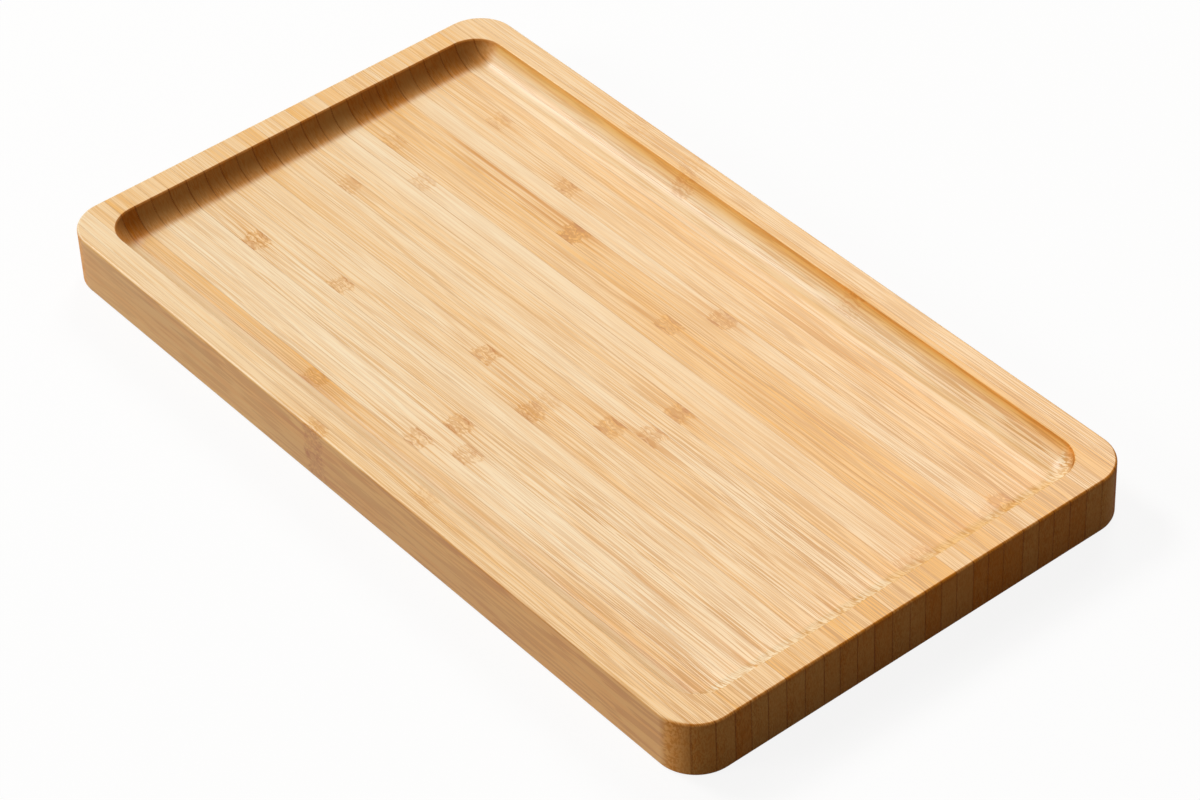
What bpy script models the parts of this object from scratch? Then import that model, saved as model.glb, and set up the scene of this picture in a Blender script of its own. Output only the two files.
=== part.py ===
"""Shallow tray of laminated bamboo.

Strips of bamboo stand on edge and are glued side by side into a board. The board is then
trimmed to a rounded rectangle with eased edges, and a shallow hollow with a coved wall is
routed into its top. Every strip runs the whole length and carries its own share of the rim,
the cove and the floor. X runs along the strips, Y across them, and Z up from the underside.
"""
import bpy
from math import asin, cos, pi, sin, sqrt

# The board, in metres
LENGTH = 0.300
WIDTH = 0.168
HEIGHT = 0.0195
OUTER_CORNER = 0.0132
EDGE_EASING = 0.0008

# The hollow routed into its top
RIM = 0.009
RECESS_DEPTH = 0.0070
COVE_RADIUS = 0.0090
FLOOR_CORNER = 0.0022
RIM_EASING = 0.0007

# The strips: the glue between two neighbours, and each strip's share of the board's width,
# from the left long edge to the right one
GLUE_LINE = 0.0003
STRIP_WIDTH_SHARES = (
    0.0220, 0.0350, 0.0385, 0.0345, 0.0360, 0.0400, 0.0395, 0.0415, 0.0350,
    0.0380, 0.0380, 0.0400, 0.0395, 0.0340, 0.0360, 0.0345, 0.0380, 0.0340,
    0.0350, 0.0450, 0.0370, 0.0345, 0.0380, 0.0385, 0.0365, 0.0390, 0.0425,
)

# Each strip's colour, as a share of the way from pale to honey
STRIP_TONE_SHARES = (
    0.5, 0.3, 0.2, 0.6, 0.2, 0.1, 0.3, 0.4, 0.2,
    0.3, 0.2, 0.4, 0.3, 0.5, 0.4, 0.3, 0.1, 0.5,
    0.6, 0.7, 0.2, 0.4, 0.3, 0.5, 0.4, 0.3, 0.4,
)
PALE_BAMBOO = (0.82, 0.62, 0.36)
HONEY_BAMBOO = (0.66, 0.40, 0.17)
BAMBOO_ROUGHNESS = 0.45

# How far a cutting shape, or an untrimmed strip, runs past what it meets
OVERRUN = 0.004

# Straight facets in each round stretch
CORNER_FACETS = 14
COVE_FACETS = 12
EASING_FACETS = 4


def arc(centre, radius, start, end, facets):
    """Points on an arc about a centre, from one angle to another."""
    turn = (end - start) / facets
    return [
        (centre[0] + radius * cos(start + turn * k), centre[1] + radius * sin(start + turn * k))
        for k in range(facets + 1)
    ]


def rounded_ring(inset, corner, height):
    """The board's outline drawn in by inset, as a level ring that runs anticlockwise from above."""
    reach_x = LENGTH / 2 - inset - corner
    reach_y = WIDTH / 2 - inset - corner
    ring = []
    for quarter, (side_x, side_y) in enumerate(((1, 1), (-1, 1), (-1, -1), (1, -1))):
        start = quarter * pi / 2
        corner_arc = arc((side_x * reach_x, side_y * reach_y), corner, start, start + pi / 2, CORNER_FACETS)
        ring += [(x, y, height) for x, y in corner_arc]
    return ring


def loft(name, rings):
    """A closed mesh through level rings with equal counts of points, given from the bottom up."""
    count = len(rings[0])
    faces = [tuple(reversed(range(count)))]
    for level in range(len(rings) - 1):
        low = level * count
        high = low + count
        faces += [(low + k, low + (k + 1) % count, high + (k + 1) % count, high + k) for k in range(count)]
    faces.append(tuple(range(count * (len(rings) - 1), count * len(rings))))
    mesh = bpy.data.meshes.new(name)
    mesh.from_pydata([point for ring in rings for point in ring], [], faces)
    mesh.shade_smooth()
    mesh.set_sharp_from_angle(angle=pi / 6)
    return mesh


def add_object(name, mesh):
    """Puts a mesh into the scene under a name."""
    obj = bpy.data.objects.new(name, mesh)
    bpy.context.scene.collection.objects.link(obj)
    return obj


def add_cutter(name, mesh):
    """A shape that only trims the strips and isn't a piece of the tray."""
    cutter = add_object(name, mesh)
    cutter.hide_render = True
    cutter.display_type = 'WIRE'
    return cutter


def board_outline():
    """The board's outer form: a rounded rectangle whose top and bottom edges are eased."""
    lower = arc((-EDGE_EASING, EDGE_EASING), EDGE_EASING, -pi / 2, 0, EASING_FACETS)
    upper = arc((-EDGE_EASING, HEIGHT - EDGE_EASING), EDGE_EASING, 0, pi / 2, EASING_FACETS)
    rings = [rounded_ring(-out, OUTER_CORNER + out, up) for out, up in lower + upper]
    return loft('board_outline', rings)


def recess_profile():
    """The hollow's wall as (distance in from the rim's inner edge, height), from its floor up.

    The cove is an arc that ends level on the floor. A cove larger than the hollow is deep meets
    the rim at a slant, and a smaller one goes on as a straight upright wall. A small easing,
    which touches both the wall and the rim, turns the one over into the other.
    """
    cove_top = HEIGHT - RECESS_DEPTH + COVE_RADIUS
    easing_height = HEIGHT - RIM_EASING
    foot = sqrt(COVE_RADIUS ** 2 - max(0, cove_top - HEIGHT) ** 2)
    reach = COVE_RADIUS + RIM_EASING
    drop = max(0, cove_top - easing_height)
    lean = asin(drop / reach)
    cove = arc((foot, cove_top), COVE_RADIUS, 3 * pi / 2, pi + lean, COVE_FACETS)
    easing = arc((foot - reach * cos(lean), easing_height), RIM_EASING, lean, pi / 2, EASING_FACETS)
    # With no straight wall between them, the cove's last point is the easing's first
    return cove + easing if cove_top < easing_height else cove + easing[1:]


def recess_cutter():
    """The router's path as a solid: the hollow, its coved wall, and an overrun above the rim."""
    profile = recess_profile()
    foot = profile[0][0]
    rim_edge = profile[-1][0]
    rings = [rounded_ring(RIM + run, FLOOR_CORNER + foot - run, up) for run, up in profile]
    rings.append(rounded_ring(RIM + rim_edge, FLOOR_CORNER + foot - rim_edge, HEIGHT + OVERRUN))
    return loft('recess_cutter', rings)


def bamboo(name, tone):
    """A strip's own bamboo, between pale and honey."""
    material = bpy.data.materials.new(name)
    material.use_nodes = True
    shader = material.node_tree.nodes['Principled BSDF']
    colour = [pale + (honey - pale) * tone for pale, honey in zip(PALE_BAMBOO, HONEY_BAMBOO)]
    shader.inputs['Base Color'].default_value = (*colour, 1)
    shader.inputs['Roughness'].default_value = BAMBOO_ROUGHNESS
    shader.inputs['Metallic'].default_value = 0
    material.diffuse_color = (*colour, 1)
    return material


def sawn_strip(name, left, right):
    """A strip as sawn: its two glue faces are where they stay, and the rest is trimmed later."""
    end = LENGTH / 2 + OVERRUN
    corners = [(-end, left), (end, left), (end, right), (-end, right)]
    return loft(name, [[(x, y, height) for x, y in corners] for height in (-OVERRUN, HEIGHT + OVERRUN)])


def trim(strip, name, cutter, operation):
    """Cuts a strip with a cutting shape."""
    cut = strip.modifiers.new(name, 'BOOLEAN')
    cut.object = cutter
    cut.operation = operation
    cut.solver = 'EXACT'


def seam_places():
    """Where the strips meet across the board, with its left long edge first and its right one last."""
    total = sum(STRIP_WIDTH_SHARES)
    places = [-WIDTH / 2]
    for share in STRIP_WIDTH_SHARES:
        places.append(places[-1] + WIDTH * share / total)
    return places


def build_strips():
    """All the strips, side by side, each trimmed to the board's outline and routed."""
    outline = add_cutter('board_outline', board_outline())
    recess = add_cutter('recess_cutter', recess_cutter())
    seams = seam_places()
    count = len(STRIP_WIDTH_SHARES)
    for number, (left, right, tone) in enumerate(zip(seams, seams[1:], STRIP_TONE_SHARES), start=1):
        # A glued side stops half a glue line short of the seam, and the board's own sides run over
        left += -OVERRUN if number == 1 else GLUE_LINE / 2
        right += OVERRUN if number == count else -GLUE_LINE / 2
        name = f'bamboo_strip_{number:02d}'
        strip = add_object(name, sawn_strip(name, left, right))
        strip.data.materials.append(bamboo(f'{name}_bamboo', tone))
        trim(strip, 'trim_to_outline', outline, 'INTERSECT')
        trim(strip, 'rout_recess', recess, 'DIFFERENCE')


def main():
    for old in list(bpy.data.objects):
        bpy.data.objects.remove(old, do_unlink=True)
    build_strips()


main()
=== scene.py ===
"""Looks of a shallow bamboo tray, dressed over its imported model.

The tray is a board of bamboo strips on edge, glued side by side, with a hollow routed into it.
Each strip gets its own fine mesh, which meets its neighbours in a hairline glue seam, and its
own bamboo: its shade, its fibres, its streaks and its knuckles, where the culm's joints were.
X runs along the strips and Y across them.
"""
from collections import namedtuple
from math import asin, cos, pi, radians, sin, sqrt

import bmesh
import bpy
from mathutils import Matrix, Vector


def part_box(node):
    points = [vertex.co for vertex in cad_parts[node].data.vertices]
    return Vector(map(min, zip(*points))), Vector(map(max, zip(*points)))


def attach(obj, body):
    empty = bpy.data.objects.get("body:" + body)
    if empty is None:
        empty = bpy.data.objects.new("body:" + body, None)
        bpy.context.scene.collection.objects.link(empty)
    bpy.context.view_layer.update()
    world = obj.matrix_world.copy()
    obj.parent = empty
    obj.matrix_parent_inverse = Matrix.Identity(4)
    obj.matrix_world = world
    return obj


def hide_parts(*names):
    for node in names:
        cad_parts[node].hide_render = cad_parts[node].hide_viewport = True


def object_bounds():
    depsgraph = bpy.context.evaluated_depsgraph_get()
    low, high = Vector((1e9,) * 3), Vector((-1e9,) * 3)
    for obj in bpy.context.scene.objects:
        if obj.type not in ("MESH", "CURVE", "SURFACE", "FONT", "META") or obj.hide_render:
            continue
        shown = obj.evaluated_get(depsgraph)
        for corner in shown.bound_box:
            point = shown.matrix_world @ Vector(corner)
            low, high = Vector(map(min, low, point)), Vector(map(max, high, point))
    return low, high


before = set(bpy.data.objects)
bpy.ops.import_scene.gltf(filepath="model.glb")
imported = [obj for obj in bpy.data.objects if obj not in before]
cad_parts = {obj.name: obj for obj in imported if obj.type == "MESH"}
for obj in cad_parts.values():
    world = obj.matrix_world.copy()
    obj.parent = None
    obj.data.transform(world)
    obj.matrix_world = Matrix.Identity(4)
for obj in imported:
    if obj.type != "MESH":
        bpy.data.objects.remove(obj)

CAD_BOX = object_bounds()

MILLIMETRE = 0.001

# The board, taken from the frame, in metres
LENGTH = CAD_BOX[1].x - CAD_BOX[0].x
WIDTH = CAD_BOX[1].y - CAD_BOX[0].y
HEIGHT = CAD_BOX[1].z
OUTER_CORNER = 0.0132
EDGE_EASING = 0.0008

# The hollow routed into its top
RIM = 0.0092
RECESS_DEPTH = 0.0070
COVE_RADIUS = 0.0090
FLOOR_CORNER = 0.0022
RIM_EASING = 0.0004

# What is left open between two strips, where the glue shows as a hairline
GLUE_HAIRLINE = 0.00003

# Straight facets in each round stretch
CORNER_FACETS = 28
COVE_FACETS = 24
EASING_FACETS = 6

# The camera, which looks past the middle of the underside by the aim's two distances
CAMERA_AZIMUTH = 52.21
CAMERA_ELEVATION = 40.84
CAMERA_ROLL = -2.78
CAMERA_DISTANCE = 1.2753
CAMERA_LENS = 127.3
CAMERA_SENSOR = 36
AIM_RIGHT = 0.0062
AIM_UP = -0.0042


def tint(red, green, blue):
    """A screen colour from 0 to 255 as the linear colour that shaders take."""
    return tuple(
        share / 12.92 if share <= 0.04045 else ((share + 0.055) / 1.055) ** 2.4
        for share in (red / 255, green / 255, blue / 255)
    )


# The bamboo's colours: its palest and its honey-coloured wood, the grooves between its fibres,
# its dark fibres, and the curls and the wedges of its knuckles
PALE = tint(245, 223, 185)
HONEY = tint(235, 172, 66)
GROOVE = tint(204, 146, 62)
STREAK = tint(206, 138, 30)
KNUCKLE = tint(196, 128, 8)
WEDGE = tint(186, 114, 4)

# What glue, oil and painted shade leave of the bamboo's red, green and blue: the glue in a seam, oil
# and painted shade on the sides, an amber turn towards an end that is painted shade on the far wall, painted
# shade on slopes that face the far end and its lamp, and the darker ends. Bare bamboo keeps its own colour.
GLUE = (0.46, 0.30, 0.14)
OILED_AND_SHADED_SIDE = (0.92, 0.70, 0.32)
AMBER_EDGE_AND_SHADE = (0.86, 0.59, 0.33)
LAMP_SLOPE_SHADE = (0.92, 0.94, 0.96)
END_GRAIN = (0.43, 0.265, 0.11)
BARE = (1.0, 1.0, 1.0)

# The grains of each pattern in a metre along, across and up a strip: the fibres' waver, ripple
# and curl, their bands, broad lines, fine lines and hairs, how clear these are, and the glue
WAVER_GRAINS = (20, 90, 60)
RIPPLE_GRAINS = (75, 260, 160)
CURL_GRAINS = (300, 300, 300)
BAND_GRAINS = (6, 150, 60)
BROAD_GRAINS = (10, 480, 140)
FINE_GRAINS = (22, 1500, 420)
HAIR_GRAINS = (45, 2800, 900)
CLEAR_GRAINS = (10, 150, 60)
GLUE_GRAINS = (8, 60, 60)

# The same for the breaks in a streak, and for a knuckle's ragged ends, wedges, curls and breaks
STREAK_GRAINS = (16, 300, 120)
RAGGED_GRAINS = (120, 600, 300)
WEDGE_GRAINS = (260, 260, 260)
SWIRL_GRAINS = (520, 400, 450)
BREAK_GRAINS = (700, 900, 900)

# How far the fibres stray from side to side in their waver, their ripple and their curls
WAVER = 0.7 * MILLIMETRE
RIPPLE = 0.20 * MILLIMETRE
CURL = 3.0 * MILLIMETRE

# A knuckle: half its length at its faintest and at its full strength, how ragged its ends are,
# half the length of its wedges, and how far from its middle its smears begin and are at full
# strength, on the far and on the near side
KNUCKLE_HALF = 4.8 * MILLIMETRE
KNUCKLE_CORE_HALF = 3.4 * MILLIMETRE
KNUCKLE_RAGGEDNESS = 7 * MILLIMETRE
WEDGE_HALF = 9 * MILLIMETRE
FAR_SMEAR = (30 * MILLIMETRE, 3 * MILLIMETRE)
NEAR_SMEAR = (22 * MILLIMETRE, 2 * MILLIMETRE)

# Half the share of the length over which a streak comes in, and over which it breaks off
STREAK_START = 0.04
STREAK_STOP = 0.015

# The floor: half its width, how far it lies under the tray, its two whites, how much of its white
# is glow, and what it throws back at the tray. Then the light from all round, and its strength
# beside a plain white background, and how far off the lamps stand.
FLOOR_REACH = 3.0
FLOOR_DROP = 0.1 * MILLIMETRE
FLOOR_WHITE = (0.95, 0.95, 0.95)
FLOOR_SPECKLE = (0.93, 0.93, 0.93)
FLOOR_GLOW = 0.88
FLOOR_THROWN_BACK = (0.48, 0.44, 0.38)
STUDIO_LIGHT = (1.0, 0.90, 0.77)
STUDIO_LEVEL = 0.25
LAMP_DISTANCE = 8.0

# A strip as a maker would describe it. The four tones are from 0, pale, to 1, honey, at the far
# rim, the far and the near part of the floor, and the near rim. Fibres says how clear its lines
# are. A knuckle is (share of the length, strength). A streak is (share of the strip's thickness,
# its half width in millimetres, from and to as shares of the length, strength).
Card = namedtuple("Card", "tones fibres knuckles streaks")
STRIPS = (
    Card((0.25, 0.25, 0.30, 0.40), 0.7, [(0.436, 0.7)], []),
    Card((0.10, 0.20, 0.25, 0.45), 0.8, [(0.586, 0.4)], [(1.0, 0.35, 0.70, 1.00, 0.7)]),
    Card((0.35, 0.20, 0.20, 0.50), 0.9, [], [(1.0, 0.45, 0.20, 0.95, 0.5)]),
    Card((0.45, 0.60, 0.45, 0.65), 1.0, [(0.353, 0.8)], [(0.0, 0.40, 0.20, 0.95, 0.3)]),
    Card((0.45, 0.05, 0.05, 0.40), 0.8, [(0.494, 0.7)],
         [(0.0, 0.30, 0.60, 0.97, 0.6), (1.0, 0.30, 0.86, 1.00, 0.7)]),
    Card((0.40, 0.10, 0.10, 0.45), 0.8, [(0.545, 0.7)],
         [(0.5, 0.30, 0.78, 0.95, 0.6), (1.0, 0.25, 0.90, 1.00, 0.7)]),
    Card((0.50, 0.05, 0.20, 0.75), 0.9, [(0.504, 0.9)], [(0.15, 0.50, 0.70, 0.96, 0.8)]),
    Card((0.40, 0.15, 0.20, 0.70), 0.9, [(0.137, 1.0)], [(1.0, 0.35, 0.60, 0.97, 0.6)]),
    Card((0.35, 0.20, 0.25, 0.65), 0.8, [(0.253, 0.8)], []),
    Card((0.45, 0.20, 0.40, 0.85), 0.9, [(0.537, 0.9)], [(0.1, 0.30, 0.50, 0.90, 0.5)]),
    Card((0.40, 0.15, 0.30, 0.60), 0.8, [(0.438, 1.0), (0.535, 0.4)], [(1.0, 0.30, 0.30, 1.00, 0.6)]),
    Card((0.55, 0.35, 0.45, 1.00), 1.0, [(0.607, 0.9)], [(0.05, 0.50, 0.95, 1.00, 0.9)]),
    Card((0.30, 0.20, 0.25, 0.60), 0.9, [(0.643, 0.8)], [(1.0, 0.40, 0.75, 1.00, 0.9)]),
    Card((0.45, 0.25, 0.30, 0.70), 0.9, [(0.127, 0.5)], []),
    Card((0.60, 0.20, 0.60, 0.85), 0.9, [(0.636, 1.0)], [(1.0, 0.20, 0.00, 1.00, 0.6)]),
    Card((0.35, 0.15, 0.40, 1.00), 0.6, [(0.945, 0.5)], [(1.0, 0.25, 0.05, 1.00, 0.9)]),
    Card((0.65, 0.10, 0.40, 0.55), 0.6, [(0.175, 0.5), (0.945, 0.5)], [(1.0, 0.30, 0.80, 0.96, 1.0)]),
    Card((0.45, 0.40, 0.70, 0.70), 1.0, [(0.10, 0.4)],
         [(1.0, 0.35, 0.60, 0.96, 0.9), (0.4, 0.30, 0.10, 0.60, 0.5)]),
    Card((0.55, 0.45, 0.80, 0.95), 1.0, [(0.527, 0.8)],
         [(0.5, 0.60, 0.00, 0.12, 0.7), (0.6, 0.80, 0.55, 0.80, 0.7), (0.2, 0.35, 0.20, 0.50, 0.6)]),
    Card((0.40, 0.50, 0.65, 0.70), 1.0, [(0.348, 1.6)],
         [(0.86, 0.90, 0.14, 0.37, 1.2), (0.45, 0.70, 0.18, 0.34, 1.1), (0.95, 0.40, 0.34, 0.46, 0.9),
          (0.2, 0.80, 0.70, 0.96, 0.9)]),
    Card((0.45, 0.20, 0.35, 0.50), 0.7, [(0.556, 1.0), (0.945, 0.4)], []),
    Card((0.55, 0.35, 0.50, 0.80), 0.9, [(0.285, 0.8), (0.94, 1.0)], []),
    Card((0.45, 0.30, 0.55, 0.75), 0.9, [(0.147, 0.4)], [(1.0, 0.35, 0.50, 0.80, 0.9)]),
    Card((0.65, 0.40, 0.55, 0.80), 1.0, [], [(0.2, 0.50, 0.40, 0.80, 0.6)]),
    # Strips 25 and 26 run up the right wall: their pale floor tones are partly painted highlight along its
    # cove
    Card((0.45, 0.15, 0.25, 0.55), 0.8, [], []),
    Card((0.50, 0.05, 0.15, 0.80), 0.9, [(0.376, 0.5), (0.635, 0.30)], []),
    Card((0.30, 0.45, 0.70, 0.50), 1.0, [(0.366, 0.3), (0.278, 0.3)], []),
)


class Wire:
    """A shader socket for use in Python expressions: each operation adds its Math node."""

    def __init__(self, tree, socket):
        self.tree = tree
        self.socket = socket

    def node(self, kind, settings, inputs, output=0):
        """Adds a node: its settings first, then the values or links of its sockets, by name or number."""
        made = self.tree.nodes.new(kind)
        for name, value in settings.items():
            setattr(made, name, value)
        for name, value in inputs.items():
            if isinstance(value, Wire):
                self.tree.links.new(value.socket, made.inputs[name])
            else:
                made.inputs[name].default_value = value
        return Wire(self.tree, made.outputs[output])

    def math(self, operation, *values):
        return self.node("ShaderNodeMath", {"operation": operation}, dict(enumerate(values)))

    def __add__(self, other):
        return self.math("ADD", self, other)

    def __radd__(self, other):
        return self.math("ADD", other, self)

    def __sub__(self, other):
        return self.math("SUBTRACT", self, other)

    def __rsub__(self, other):
        return self.math("SUBTRACT", other, self)

    def __mul__(self, other):
        return self.math("MULTIPLY", self, other)

    def __rmul__(self, other):
        return self.math("MULTIPLY", other, self)

    def __abs__(self):
        return self.math("ABSOLUTE", self)

    def larger(self, other):
        return self.math("MAXIMUM", self, other)

    def step(self, low, high):
        """0 below low and 1 above high, smooth in between; low may be the larger one."""
        return self.node(
            "ShaderNodeMapRange", {"interpolation_type": "SMOOTHSTEP"},
            {"Value": self, "From Min": low, "From Max": high},
        )

    def mix(self, first, second):
        """The colour between two colours, at this share of the way."""
        colours = [c if isinstance(c, Wire) else (*c, 1) for c in (first, second)]
        return self.node(
            "ShaderNodeMix", {"data_type": "RGBA"}, {0: self, 6: colours[0], 7: colours[1]}, output=2
        )

    def noise(self, grains, seed, detail=2.0, distortion=0.0):
        """Noise about 0.5 at this place, with so many grains a metre along X, Y and Z."""
        place = self.node(
            "ShaderNodeVectorMath", {"operation": "MULTIPLY_ADD"},
            {0: self, 1: grains, 2: (seed * 3.7, seed * 5.3, seed * 7.1)},
        )
        return self.node(
            "ShaderNodeTexNoise", {},
            {"Vector": place, "Scale": 1.0, "Detail": detail, "Distortion": distortion},
        )

    def parts(self):
        """The three numbers of a vector, each as a socket of its own."""
        return [self.node("ShaderNodeSeparateXYZ", {}, {0: self}, output=k) for k in range(3)]


def arc(centre, radius, start, end, facets):
    """Points on an arc about a centre, from one angle to another."""
    turn = (end - start) / facets
    return [
        (centre[0] + radius * cos(start + turn * k), centre[1] + radius * sin(start + turn * k))
        for k in range(facets + 1)
    ]


def rounded_ring(inset, corner, height):
    """The board's outline drawn in by inset, as a level ring that runs anticlockwise from above."""
    reach_x = LENGTH / 2 - inset - corner
    reach_y = WIDTH / 2 - inset - corner
    ring = []
    for quarter, (side_x, side_y) in enumerate(((1, 1), (-1, 1), (-1, -1), (1, -1))):
        start = quarter * pi / 2
        corner_arc = arc((side_x * reach_x, side_y * reach_y), corner, start, start + pi / 2, CORNER_FACETS)
        ring += [(x, y, height) for x, y in corner_arc]
    return ring


def recess_profile():
    """The hollow's wall as (distance in from the rim's inner edge, height), from its floor up."""
    cove_top = HEIGHT - RECESS_DEPTH + COVE_RADIUS
    easing_height = HEIGHT - RIM_EASING
    foot = sqrt(COVE_RADIUS ** 2 - (cove_top - HEIGHT) ** 2)
    reach = COVE_RADIUS + RIM_EASING
    lean = asin((cove_top - easing_height) / reach)
    cove = arc((foot, cove_top), COVE_RADIUS, 3 * pi / 2, pi + lean, COVE_FACETS)
    easing = arc((foot - reach * cos(lean), easing_height), RIM_EASING, lean, pi / 2, EASING_FACETS)
    return cove + easing[1:]


def board_rings():
    """The whole board as level rings, from its underside over the rim and down to the floor."""
    lower = arc((-EDGE_EASING, EDGE_EASING), EDGE_EASING, -pi / 2, 0, EASING_FACETS)
    upper = arc((-EDGE_EASING, HEIGHT - EDGE_EASING), EDGE_EASING, 0, pi / 2, EASING_FACETS)
    outside = [rounded_ring(-out, OUTER_CORNER + out, up) for out, up in lower + upper]
    profile = recess_profile()
    foot = profile[0][0]
    inside = [rounded_ring(RIM + run, FLOOR_CORNER + foot - run, up) for run, up in reversed(profile)]
    return outside + inside


def board_mesh():
    """The whole board as one closed mesh."""
    rings = board_rings()
    board = bmesh.new()
    levels = [[board.verts.new(point) for point in ring] for ring in rings]
    count = len(rings[0])
    for low, high in zip(levels, levels[1:]):
        for k in range(count):
            after = (k + 1) % count
            board.faces.new((low[k], low[after], high[after], high[k]))
    board.faces.new(reversed(levels[0]))
    board.faces.new(levels[-1])
    return board


def cut_away(board, side, place):
    """Cuts off what lies past a place along Y, on side 1 or -1, and closes the cut."""
    everything = board.verts[:] + board.edges[:] + board.faces[:]
    cut = bmesh.ops.bisect_plane(
        board, geom=everything, dist=GLUE_HAIRLINE / 100, plane_co=(0, place, 0),
        plane_no=(0, side, 0), clear_outer=True,
    )
    edges = [e for e in cut["geom_cut"] if isinstance(e, bmesh.types.BMEdge)]
    bmesh.ops.edgeloop_fill(board, edges=edges)


def strip_piece(number, board, left, right):
    """One strip of the board, as a piece of its own."""
    strip = board.copy()
    if left > -WIDTH / 2:
        cut_away(strip, -1, left)
    if right < WIDTH / 2:
        cut_away(strip, 1, right)
    bmesh.ops.recalc_face_normals(strip, faces=strip.faces)
    mesh = bpy.data.meshes.new(f"strip_{number:02d}")
    strip.to_mesh(mesh)
    strip.free()
    mesh.shade_smooth()
    mesh.set_sharp_from_angle(angle=radians(35))
    piece = bpy.data.objects.new(f"strip_{number:02d}", mesh)
    bpy.context.scene.collection.objects.link(piece)
    flatten = piece.modifiers.new("flat_faces_stay_flat", "WEIGHTED_NORMAL")
    flatten.keep_sharp = True
    flatten.weight = 100
    return piece


class Strip:
    """What a strip's material is worked out from: its card, and sockets that say where a point
    of it lies and which way its surface faces there."""

    def __init__(self, tree, number, card, left, right):
        start = Wire(tree, None)
        self.number = number
        self.card = card
        self.left = left
        self.thickness = right - left
        self.place = start.node("ShaderNodeTexCoord", {}, {}, output="Object")
        self.along, self.across, self.up = self.place.parts()
        facing = start.node("ShaderNodeNewGeometry", {}, {}, output="Normal")
        self.facing_x, self.facing_y, self.facing_z = facing.parts()
        # From the left glue face, where the fibres lie closest, to the right one
        self.inward = (self.across - left) * (1 / self.thickness)
        self.length_share = self.along * (1 / LENGTH) + 0.5

    def noise(self, grains, seed, detail=2.0, distortion=0.0):
        """Noise of this strip's own."""
        return self.place.noise(grains, self.number + seed, detail, distortion)


def knuckle_marks(strip):
    """A strip's knuckles, added up: each one's patch, the wedges at its seams, and its smears.

    In the patch the fibres turn aside into short curls. The wedges are dark leaves along the two
    seams, and the smears are dark fibres that run into the patch, mostly from the far end.
    """
    ragged = (strip.noise(RAGGED_GRAINS, 0.1, 3.0) - 0.5) * KNUCKLE_RAGGEDNESS
    # Least at the two seams, where the wedges are widest
    inside = 0.8 - abs(strip.inward - 0.5) * 1.6 + (strip.noise(WEDGE_GRAINS, 0.15, 1.0) - 0.5) * 0.9
    patches = 0.0
    wedges = 0.0
    smears = 0.0
    for share, strength in strip.card.knuckles:
        off = strip.along - (share - 0.5) * LENGTH
        torn = off + ragged
        patches = abs(torn).step(KNUCKLE_HALF, KNUCKLE_CORE_HALF) * strength + patches
        outside = abs(off + ragged * 0.4) * (1 / WEDGE_HALF) + inside
        wedges = outside.step(0.50, 0.32) * strength + wedges
        far = torn.step(-FAR_SMEAR[0], -FAR_SMEAR[1])
        near = torn.step(NEAR_SMEAR[0], NEAR_SMEAR[1])
        smears = far * near * strength + smears
    return patches, wedges, smears


def streak_marks(strip, sideways):
    """A strip's streaks, where a few dark fibres run together and break off here and there."""
    broken = strip.noise(STREAK_GRAINS, 0.2).step(0.30, 0.60) * 0.6 + 0.4
    streaks = 0.0
    for share, half, begin, end, strength in strip.card.streaks:
        off = abs(strip.across + sideways - (strip.left + strip.thickness * share))
        line = off.step(half * MILLIMETRE, half * 0.35 * MILLIMETRE)
        begins = strip.length_share.step(begin - STREAK_START, begin + STREAK_START)
        ends = strip.length_share.step(end + STREAK_STOP, end - STREAK_STOP)
        streaks = line * begins * ends * strength + streaks
    return streaks * broken


def strip_tone(strip):
    """The strip's shade from 0, pale, to 1, honey: along its floor, and along the rim above it.

    Painted shade: the floor turns a little more honey-coloured at the foot of the far wall, where the far
    rim's shadow falls and fades.
    """
    far_rim, far_floor, near_floor, near_rim = strip.card.tones
    floor_tone = strip.length_share.step(0.15, 0.85) * (near_floor - far_floor) + far_floor
    floor_tone = strip.length_share.step(0.08, 0.055) * 0.10 + floor_tone
    rim_tone = strip.length_share.step(0.05, 0.95) * (near_rim - far_rim) + far_rim
    high = strip.up.step(HEIGHT - 2 * MILLIMETRE, HEIGHT)
    return high * (rim_tone - floor_tone) + floor_tone


def multiply(one, other):
    """Two colours multiplied: what oil, glue or painted shade leaves of the wood's colour."""
    return one.node(
        "ShaderNodeMix", {"data_type": "RGBA", "blend_type": "MULTIPLY"}, {0: 1.0, 6: one, 7: other}, output=2
    )


class Faces:
    """How much a point's face is each of four kinds: a side, a slope that faces the far end, a
    face that turns towards an end, and an end itself. The first three also carry painted shade."""

    def __init__(self, strip):
        upright = strip.facing_z.step(0.72, 0.35)
        # The steep sides, darker partly from the oiled side grain and partly from painted shade
        self.side = abs(strip.facing_y).step(0.60, 0.97)
        # Painted shade on slopes that face the far end and the key lamp there, chiefly the near wall's cove
        self.cut = strip.facing_x.step(0.0, -0.18) * strip.facing_z.step(0.35, 0.65)
        # An amber turn from side to end grain; on the far wall's slope, in the far rim's shadow, it is
        # painted shade
        self.edge = strip.facing_x.step(0.0, 0.35).larger(strip.facing_x.step(0.0, -0.35) * upright)
        ends = strip.facing_x.step(0.25, 0.85).larger(strip.facing_x.step(-0.25, -0.85) * upright)
        # Painted highlight: the eased edges round the top are mostly kept out of the dark end grain, so that
        # they show as a lit amber line
        painted_lip_light = strip.up.step(HEIGHT - 0.8 * MILLIMETRE, HEIGHT - 0.3 * MILLIMETRE)
        self.ends = ends * (1 - painted_lip_light * 0.8)


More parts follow.
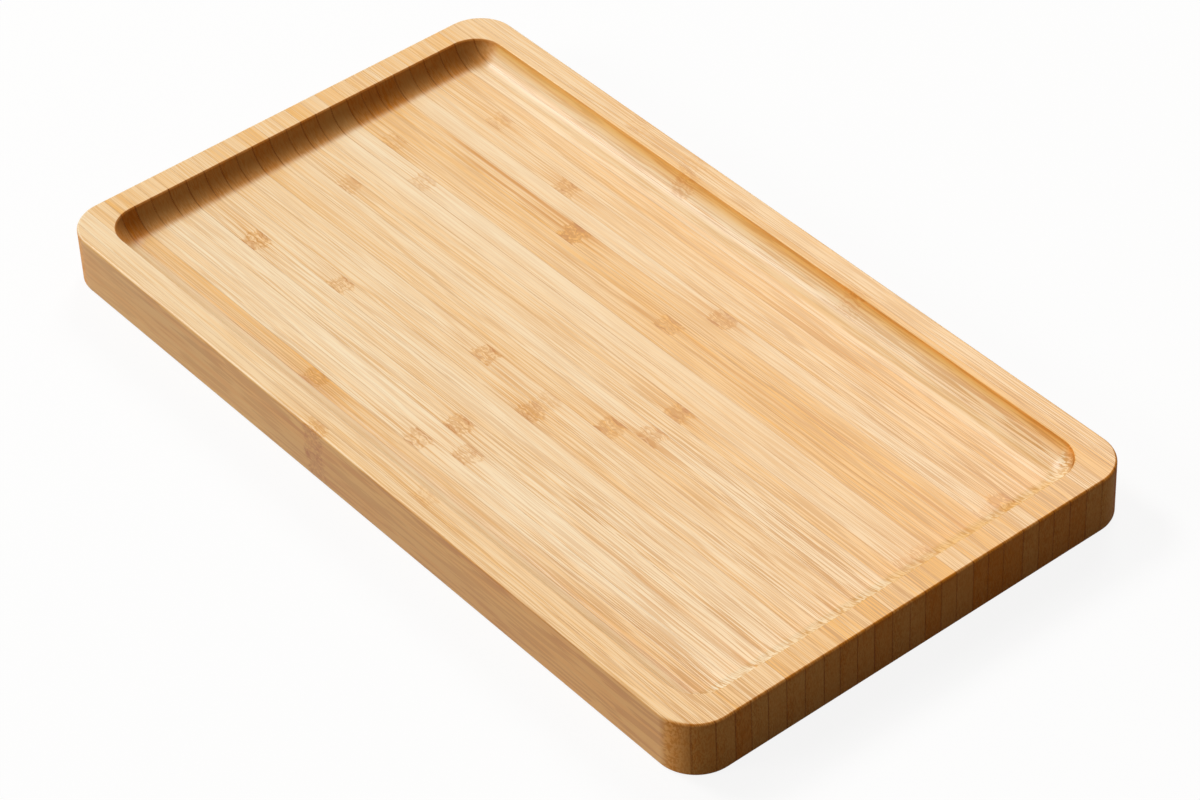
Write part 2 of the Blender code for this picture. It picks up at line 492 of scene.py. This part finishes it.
class Fibres:
    """A strip's fibre bundles: bands, lines and hairs along it, which show as dots on its ends."""

    def __init__(self, strip, grain):
        self.bands = strip.noise(BAND_GRAINS, 0.5, 1.0)
        self.broad = grain.noise(BROAD_GRAINS, strip.number + 0.6)
        self.fine = grain.noise(FINE_GRAINS, strip.number + 0.7)
        self.hairs = grain.noise(HAIR_GRAINS, strip.number + 0.8, 1.0)
        close = strip.inward.step(1.0, 0.0) * 0.4 + 0.8
        clear = strip.noise(CLEAR_GRAINS, 0.9, 1.0).step(0.30, 0.70) * 0.4 + 0.65
        self.clear = clear * close * strip.card.fibres
        crisp = strip.length_share * strip.length_share * 1.2 + 0.9
        self.amber = self.fine.step(0.46, 0.60) * self.clear
        self.grooves = self.hairs.step(0.46, 0.56) * crisp * self.clear


def seam_lines(strip, faces):
    """The glue along a strip's two sides: faint on top, and darker where a face turns to an end, which on the
    far wall is partly painted shade.
    """
    from_seam = (0.5 - abs(strip.inward - 0.5)) * (strip.thickness / MILLIMETRE)
    seam = from_seam.step(0.18, 0.0) * 0.28 + from_seam.step(0.38, 0.05) * faces.edge * 0.55
    return seam * (strip.noise(GLUE_GRAINS, 0.25, 1.0).step(0.35, 0.65) * 0.5 + 0.6)


def oil_shade_and_glue(faces, seam):
    """What is left of the bamboo's colour on each kind of face, under oil and painted shade, and in the
    seams.
    """
    oil_and_shade = faces.side.mix(BARE, OILED_AND_SHADED_SIDE)
    oil_and_shade = faces.cut.mix(oil_and_shade, LAMP_SLOPE_SHADE)
    oil_and_shade = faces.edge.mix(oil_and_shade, AMBER_EDGE_AND_SHADE)
    oil_and_shade = faces.ends.mix(oil_and_shade, END_GRAIN)
    return multiply(oil_and_shade, seam.mix(BARE, GLUE))


def with_knuckles(colour, strip, fibres, faces, patches, wedges, smears):
    """The bamboo's colour with its knuckles on it: their smears, their curls and their wedges."""
    swirl = strip.noise(SWIRL_GRAINS, 0.95, 1.0, 0.3)
    curls = (swirl * 38).math("SINE").step(0.25, 0.65)
    broken = strip.noise(BREAK_GRAINS, 0.96, 1.0).step(0.45, 0.51)
    strokes = (fibres.fine * 0.6 + fibres.hairs * 0.4).step(0.50, 0.58)
    colour = (smears * strokes * 0.50).mix(colour, STREAK)
    colour = (patches * (curls * broken * 0.72 + strokes * 0.12)).mix(colour, KNUCKLE)
    return (wedges * (strokes * 0.45 + 0.30) * (1 - faces.side * 0.5)).mix(colour, WEDGE)


def bamboo(number, card, left, right):
    """A strip's bamboo, with the fibres, streaks, knuckles and seams that its card gives."""
    material = bpy.data.materials.new(f"bamboo_{number:02d}")
    material.use_nodes = True
    tree = material.node_tree
    shader = tree.nodes["Principled BSDF"]
    strip = Strip(tree, number, card, left, right)

    # The fibres waver a little along the strip, and curl inside a knuckle
    sideways = ((strip.noise(WAVER_GRAINS, 0.3, 1.0) - 0.5) * WAVER
                + (strip.noise(RIPPLE_GRAINS, 0.35, 1.0) - 0.5) * RIPPLE)
    if card.knuckles:
        patches, wedges, smears = knuckle_marks(strip)
        sideways = (strip.noise(CURL_GRAINS, 0.4, 1.0) - 0.5) * CURL * patches + sideways
    shift = sideways.node("ShaderNodeCombineXYZ", {}, {"Y": sideways})
    grain = strip.place.node("ShaderNodeVectorMath", {"operation": "ADD"}, {0: strip.place, 1: shift})
    fibres = Fibres(strip, grain)
    faces = Faces(strip)
    seam = seam_lines(strip, faces)

    # Part of the painted shade on slopes that face the far end and its lamp: the tone turns paler and the
    # lines fainter there
    lines = ((fibres.broad - 0.5) * fibres.clear * 0.38 + fibres.amber * 0.31) * (1 - faces.cut * 0.6)
    tone = strip_tone(strip) + (fibres.bands - 0.5) * 0.44 + lines - faces.cut * 0.10
    if card.knuckles:
        tone = (patches * 0.20 + smears * 0.12) * (1 - faces.side * 0.6) + tone
    colour = tone.mix(PALE, HONEY)
    colour = (fibres.grooves * (0.50 - faces.ends * 0.30)).mix(colour, GROOVE)
    if card.streaks:
        colour = (streak_marks(strip, sideways) * 0.85).mix(colour, STREAK)
    if card.knuckles:
        colour = with_knuckles(colour, strip, fibres, faces, patches, wedges, smears)
    colour = multiply(colour, oil_shade_and_glue(faces, seam))
    tree.links.new(colour.socket, shader.inputs["Base Color"])

    roughness = 0.52 + fibres.grooves * 0.10 + faces.ends * 0.15 + (fibres.broad - 0.5) * 0.12
    tree.links.new(roughness.socket, shader.inputs["Roughness"])
    sheen = 0.90 - faces.edge * 0.85
    tree.links.new(sheen.socket, shader.inputs["Coat Weight"])
    shader.inputs["Coat Roughness"].default_value = 0.38
    shader.inputs["Specular IOR Level"].default_value = 0.05
    relief = 0.5 - fibres.grooves * 0.4 - seam * 0.6
    bump = relief.node(
        "ShaderNodeBump", {}, {"Strength": 0.5, "Distance": 0.03 * MILLIMETRE, "Height": relief}
    )
    tree.links.new(bump.socket, shader.inputs["Normal"])
    return material


def seam_places():
    """Where the strips meet across the board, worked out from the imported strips' own sides."""
    boxes = [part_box(f"bamboo_strip_{number:02d}") for number in range(1, len(STRIPS) + 1)]
    between = [(one[1].y + other[0].y) / 2 for one, other in zip(boxes, boxes[1:])]
    return [-WIDTH / 2, *between, WIDTH / 2]


def build_strips():
    """All the strips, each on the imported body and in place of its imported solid."""
    board = board_mesh()
    seams = seam_places()
    for number, (card, left, right) in enumerate(zip(STRIPS, seams, seams[1:]), start=1):
        node = f"bamboo_strip_{number:02d}"
        inner_left = left if number == 1 else left + GLUE_HAIRLINE / 2
        inner_right = right if number == len(STRIPS) else right - GLUE_HAIRLINE / 2
        piece = strip_piece(number, board, inner_left, inner_right)
        piece.data.materials.append(bamboo(number, card, left, right))
        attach(piece, "root")
        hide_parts(node)
    board.free()


def white_to_the_eye(tree):
    """1 for rays from the camera, mirrored or straight through, which are to see plain white."""
    start = Wire(tree, None)
    rays = ("Is Camera Ray", "Is Glossy Ray", "Is Transmission Ray")
    seen, mirrored, through = (start.node("ShaderNodeLightPath", {}, {}, output=ray) for ray in rays)
    return seen.larger(mirrored).larger(through)


def build_floor():
    """A plain pale floor. It shows white, keeps the tray's shadow, and throws back little light."""
    mesh = bpy.data.meshes.new("floor")
    corners = [(x * FLOOR_REACH, y * FLOOR_REACH, 0) for x, y in ((-1, -1), (1, -1), (1, 1), (-1, 1))]
    mesh.from_pydata(corners, [], [(0, 1, 2, 3)])
    floor = bpy.data.objects.new("floor", mesh)
    floor.location.z = -FLOOR_DROP
    bpy.context.scene.collection.objects.link(floor)
    material = bpy.data.materials.new("floor_paint")
    material.use_nodes = True
    tree = material.node_tree
    shader = tree.nodes["Principled BSDF"]
    shown = white_to_the_eye(tree)
    speckle = shown.node("ShaderNodeTexCoord", {}, {}, output="Object").noise((40, 40, 40), 1, 3.0)
    paint = speckle.mix(FLOOR_WHITE, FLOOR_SPECKLE)
    colour = shown.mix(FLOOR_THROWN_BACK, paint)
    tree.links.new(colour.socket, shader.inputs["Base Color"])
    shader.inputs["Roughness"].default_value = 0.9
    shader.inputs["Specular IOR Level"].default_value = 0.0
    glow = shown.node("ShaderNodeEmission", {}, {"Color": (1, 1, 1, 1), "Strength": 1.0})
    mixed = shown.node("ShaderNodeMixShader", {}, {0: shown * FLOOR_GLOW})
    tree.links.new(shader.outputs[0], mixed.socket.node.inputs[1])
    tree.links.new(glow.socket, mixed.socket.node.inputs[2])
    tree.links.new(mixed.socket, tree.nodes["Material Output"].inputs["Surface"])
    floor.data.materials.append(material)


def build_world():
    """Soft, slightly warm light from all round, with a white background behind the tray."""
    world = bpy.data.worlds.new("studio")
    bpy.context.scene.world = world
    world.use_nodes = True
    tree = world.node_tree
    background = tree.nodes["Background"]
    shown = white_to_the_eye(tree)
    strength = shown * (1 - STUDIO_LEVEL) + STUDIO_LEVEL
    colour = shown.mix(STUDIO_LIGHT, (1.0, 1.0, 1.0))
    tree.links.new(strength.socket, background.inputs["Strength"])
    tree.links.new(colour.socket, background.inputs["Color"])


def add_lamp(name, towards, size, white_level):
    """A round soft lamp that stands in a direction from the tray and faces it.

    Its white level is how bright it makes a white card that faces it, with 1 as plain white.
    """
    lamp = bpy.data.lights.new(name, "AREA")
    lamp.shape = "DISK"
    lamp.size = size
    lamp.energy = white_level * (pi * LAMP_DISTANCE) ** 2
    holder = bpy.data.objects.new(name, lamp)
    direction = Vector(towards).normalized()
    holder.location = direction * LAMP_DISTANCE
    holder.rotation_mode = "QUATERNION"
    holder.rotation_quaternion = direction.to_track_quat("Z", "Y")
    bpy.context.scene.collection.objects.link(holder)


def build_camera():
    """The camera, with the photograph's angle, height and framing."""
    azimuth = radians(CAMERA_AZIMUTH)
    elevation = radians(CAMERA_ELEVATION)
    roll = radians(CAMERA_ROLL)
    back = Vector((sin(azimuth) * cos(elevation), -cos(azimuth) * cos(elevation), sin(elevation)))
    level = Vector((cos(azimuth), sin(azimuth), 0))
    upright = back.cross(level)
    right = cos(roll) * level + sin(roll) * upright
    up = cos(roll) * upright - sin(roll) * level
    place = right * AIM_RIGHT + up * AIM_UP + back * CAMERA_DISTANCE
    data = bpy.data.cameras.new("camera")
    data.lens = CAMERA_LENS
    data.sensor_width = CAMERA_SENSOR
    camera = bpy.data.objects.new("camera", data)
    bpy.context.scene.collection.objects.link(camera)
    turned = Matrix((right, up, back)).transposed().to_4x4()
    camera.matrix_world = Matrix.Translation(place) @ turned
    bpy.context.scene.camera = camera


build_strips()
build_floor()
build_world()
add_lamp("key_lamp", (-0.73, -0.20, 0.68), 2.4, 0.58)
add_lamp("left_lamp", (-0.35, -0.80, 0.48), 3.0, 0.24)
add_lamp("right_lamp", (-0.45, 0.60, 0.66), 3.0, 0.31)
build_camera()
bpy.context.scene.view_settings.view_transform = "Standard"
